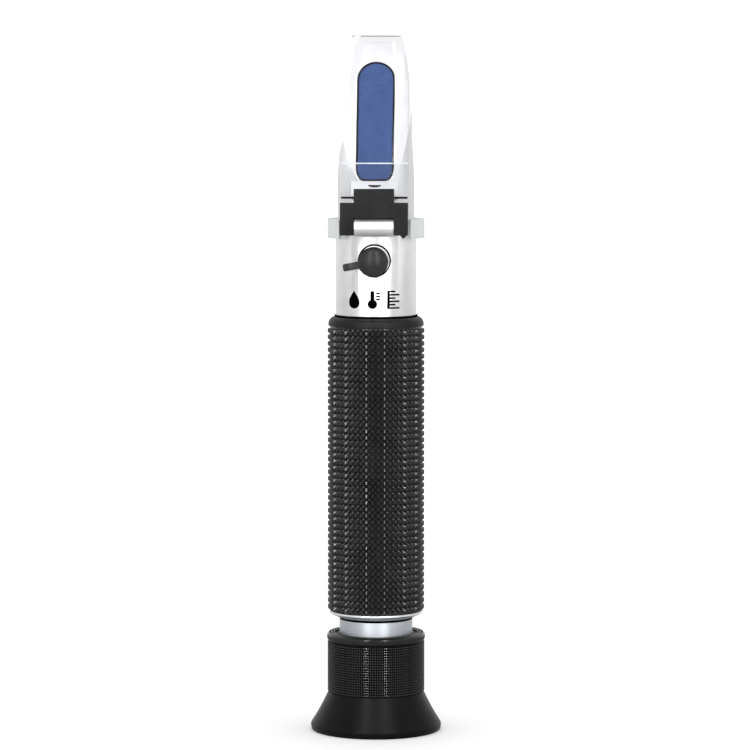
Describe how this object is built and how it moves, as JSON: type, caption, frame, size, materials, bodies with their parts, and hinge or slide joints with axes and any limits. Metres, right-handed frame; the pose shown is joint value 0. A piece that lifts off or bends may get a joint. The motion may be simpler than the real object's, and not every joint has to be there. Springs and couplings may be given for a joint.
{
  "type": "handheld refractometer",
  "caption": "Handheld refractometer: slanted prism head under a hinged clear cover, rubber grip, and a focusing eyepiece with a flared cup.",
  "frame": {"origin": "centre of the eyecup's rim, on the surface it rests on", "axes": "+Z along the tube towards the prism's tip; the prism's face, cover and calibration cap face -Y"},
  "size_m": [0.0378, 0.0378, 0.2013],
  "materials": {
    "satin_metal": "satin chrome-plated",
    "steel": "turned",
    "grip_rubber": "moulded square bumps",
    "soft_rubber": "smooth satin",
    "collar_grey": "frosted",
    "blue_glass": "polished, backed in blue",
    "black_plastic": "satin",
    "clear_acrylic": "clear, polished",
    "lens_glass": "polished and coated",
    "brass": "turned"
  },
  "bodies": {
    "housing": {"main_tube": "satin_metal", "grip_sleeve": "grip_rubber", "end_ring": "satin_metal", "collar_ring": "collar_grey", "prism_head": "satin_metal", "head_screws": "steel", "prism": "blue_glass", "prism_gasket": "black_plastic", "prism_clamp": "satin_metal", "prism_pad": "black_plastic", "hinge_pin": "steel", "calibration_bush": "satin_metal", "guide_ring_upper": "satin_metal", "guide_ring_lower": "satin_metal", "baffle_upper": "black_plastic", "baffle_lower": "black_plastic", "reticle_holder": "black_plastic", "reticle": "lens_glass", "reticle_ring": "satin_metal", "eyepiece_barrel": "satin_metal", "focus_key_pin": "steel"},
    "cover": {"hinge_bracket": "black_plastic", "daylight_plate": "clear_acrylic", "plate_pins": "steel"},
    "calibration_cap": {"calibration_cap": "soft_rubber"},
    "calibration_screw": {"calibration_screw": "brass"},
    "carriage": {"lens_carriage": "satin_metal", "bimetal_strip": "brass", "lens_mount": "black_plastic", "objective_crown": "lens_glass", "objective_flint": "lens_glass", "objective_ring": "satin_metal"},
    "eyepiece_cell": {"lens_cell": "black_plastic", "eye_lens": "lens_glass", "lens_spacer": "satin_metal", "field_lens": "lens_glass", "lens_ring": "satin_metal"},
    "focus_ring": {"eyepiece_ring": "black_plastic", "cell_ring": "black_plastic", "seal_ring": "soft_rubber", "eyecup": "soft_rubber"}
  },
  "joints": [
    {"name": "cover_hinge", "type": "hinge", "parent": "housing", "child": "cover", "pos_m": [0, -0.0143, 0.1467], "axis": [1, 0, 0], "range_deg": [0, 135]},
    {"name": "cap_pull", "type": "slide", "parent": "housing", "child": "calibration_cap", "axis": [0, -1, 0], "range_m": [0, 0.003]},
    {"name": "calibration_turn", "type": "hinge", "parent": "housing", "child": "calibration_screw", "pos_m": [0, -0.01, 0.1371], "axis": [0, 1, 0], "range_deg": [-360, 360]},
    {"name": "lens_shift", "type": "slide", "parent": "housing", "child": "carriage", "axis": [0, -1, 0], "range_m": [-0.0005, 0.0005]},
    {"name": "eyepiece_travel", "type": "slide", "parent": "housing", "child": "eyepiece_cell", "axis": [0, 0, 1], "range_m": [0, 0.003]},
    {"name": "focus_turn", "type": "hinge", "parent": "eyepiece_cell", "child": "focus_ring", "pos_m": [0, 0, 0.02], "axis": [0, 0, 1], "range_deg": [0, 360]}
  ],
  "couplings": [
    {"joint": "calibration_turn", "follows": "lens_shift", "rad_per_m": 12566},
    {"joint": "eyepiece_travel", "follows": "focus_turn", "m_per_rad": 0.000477}
  ]
}
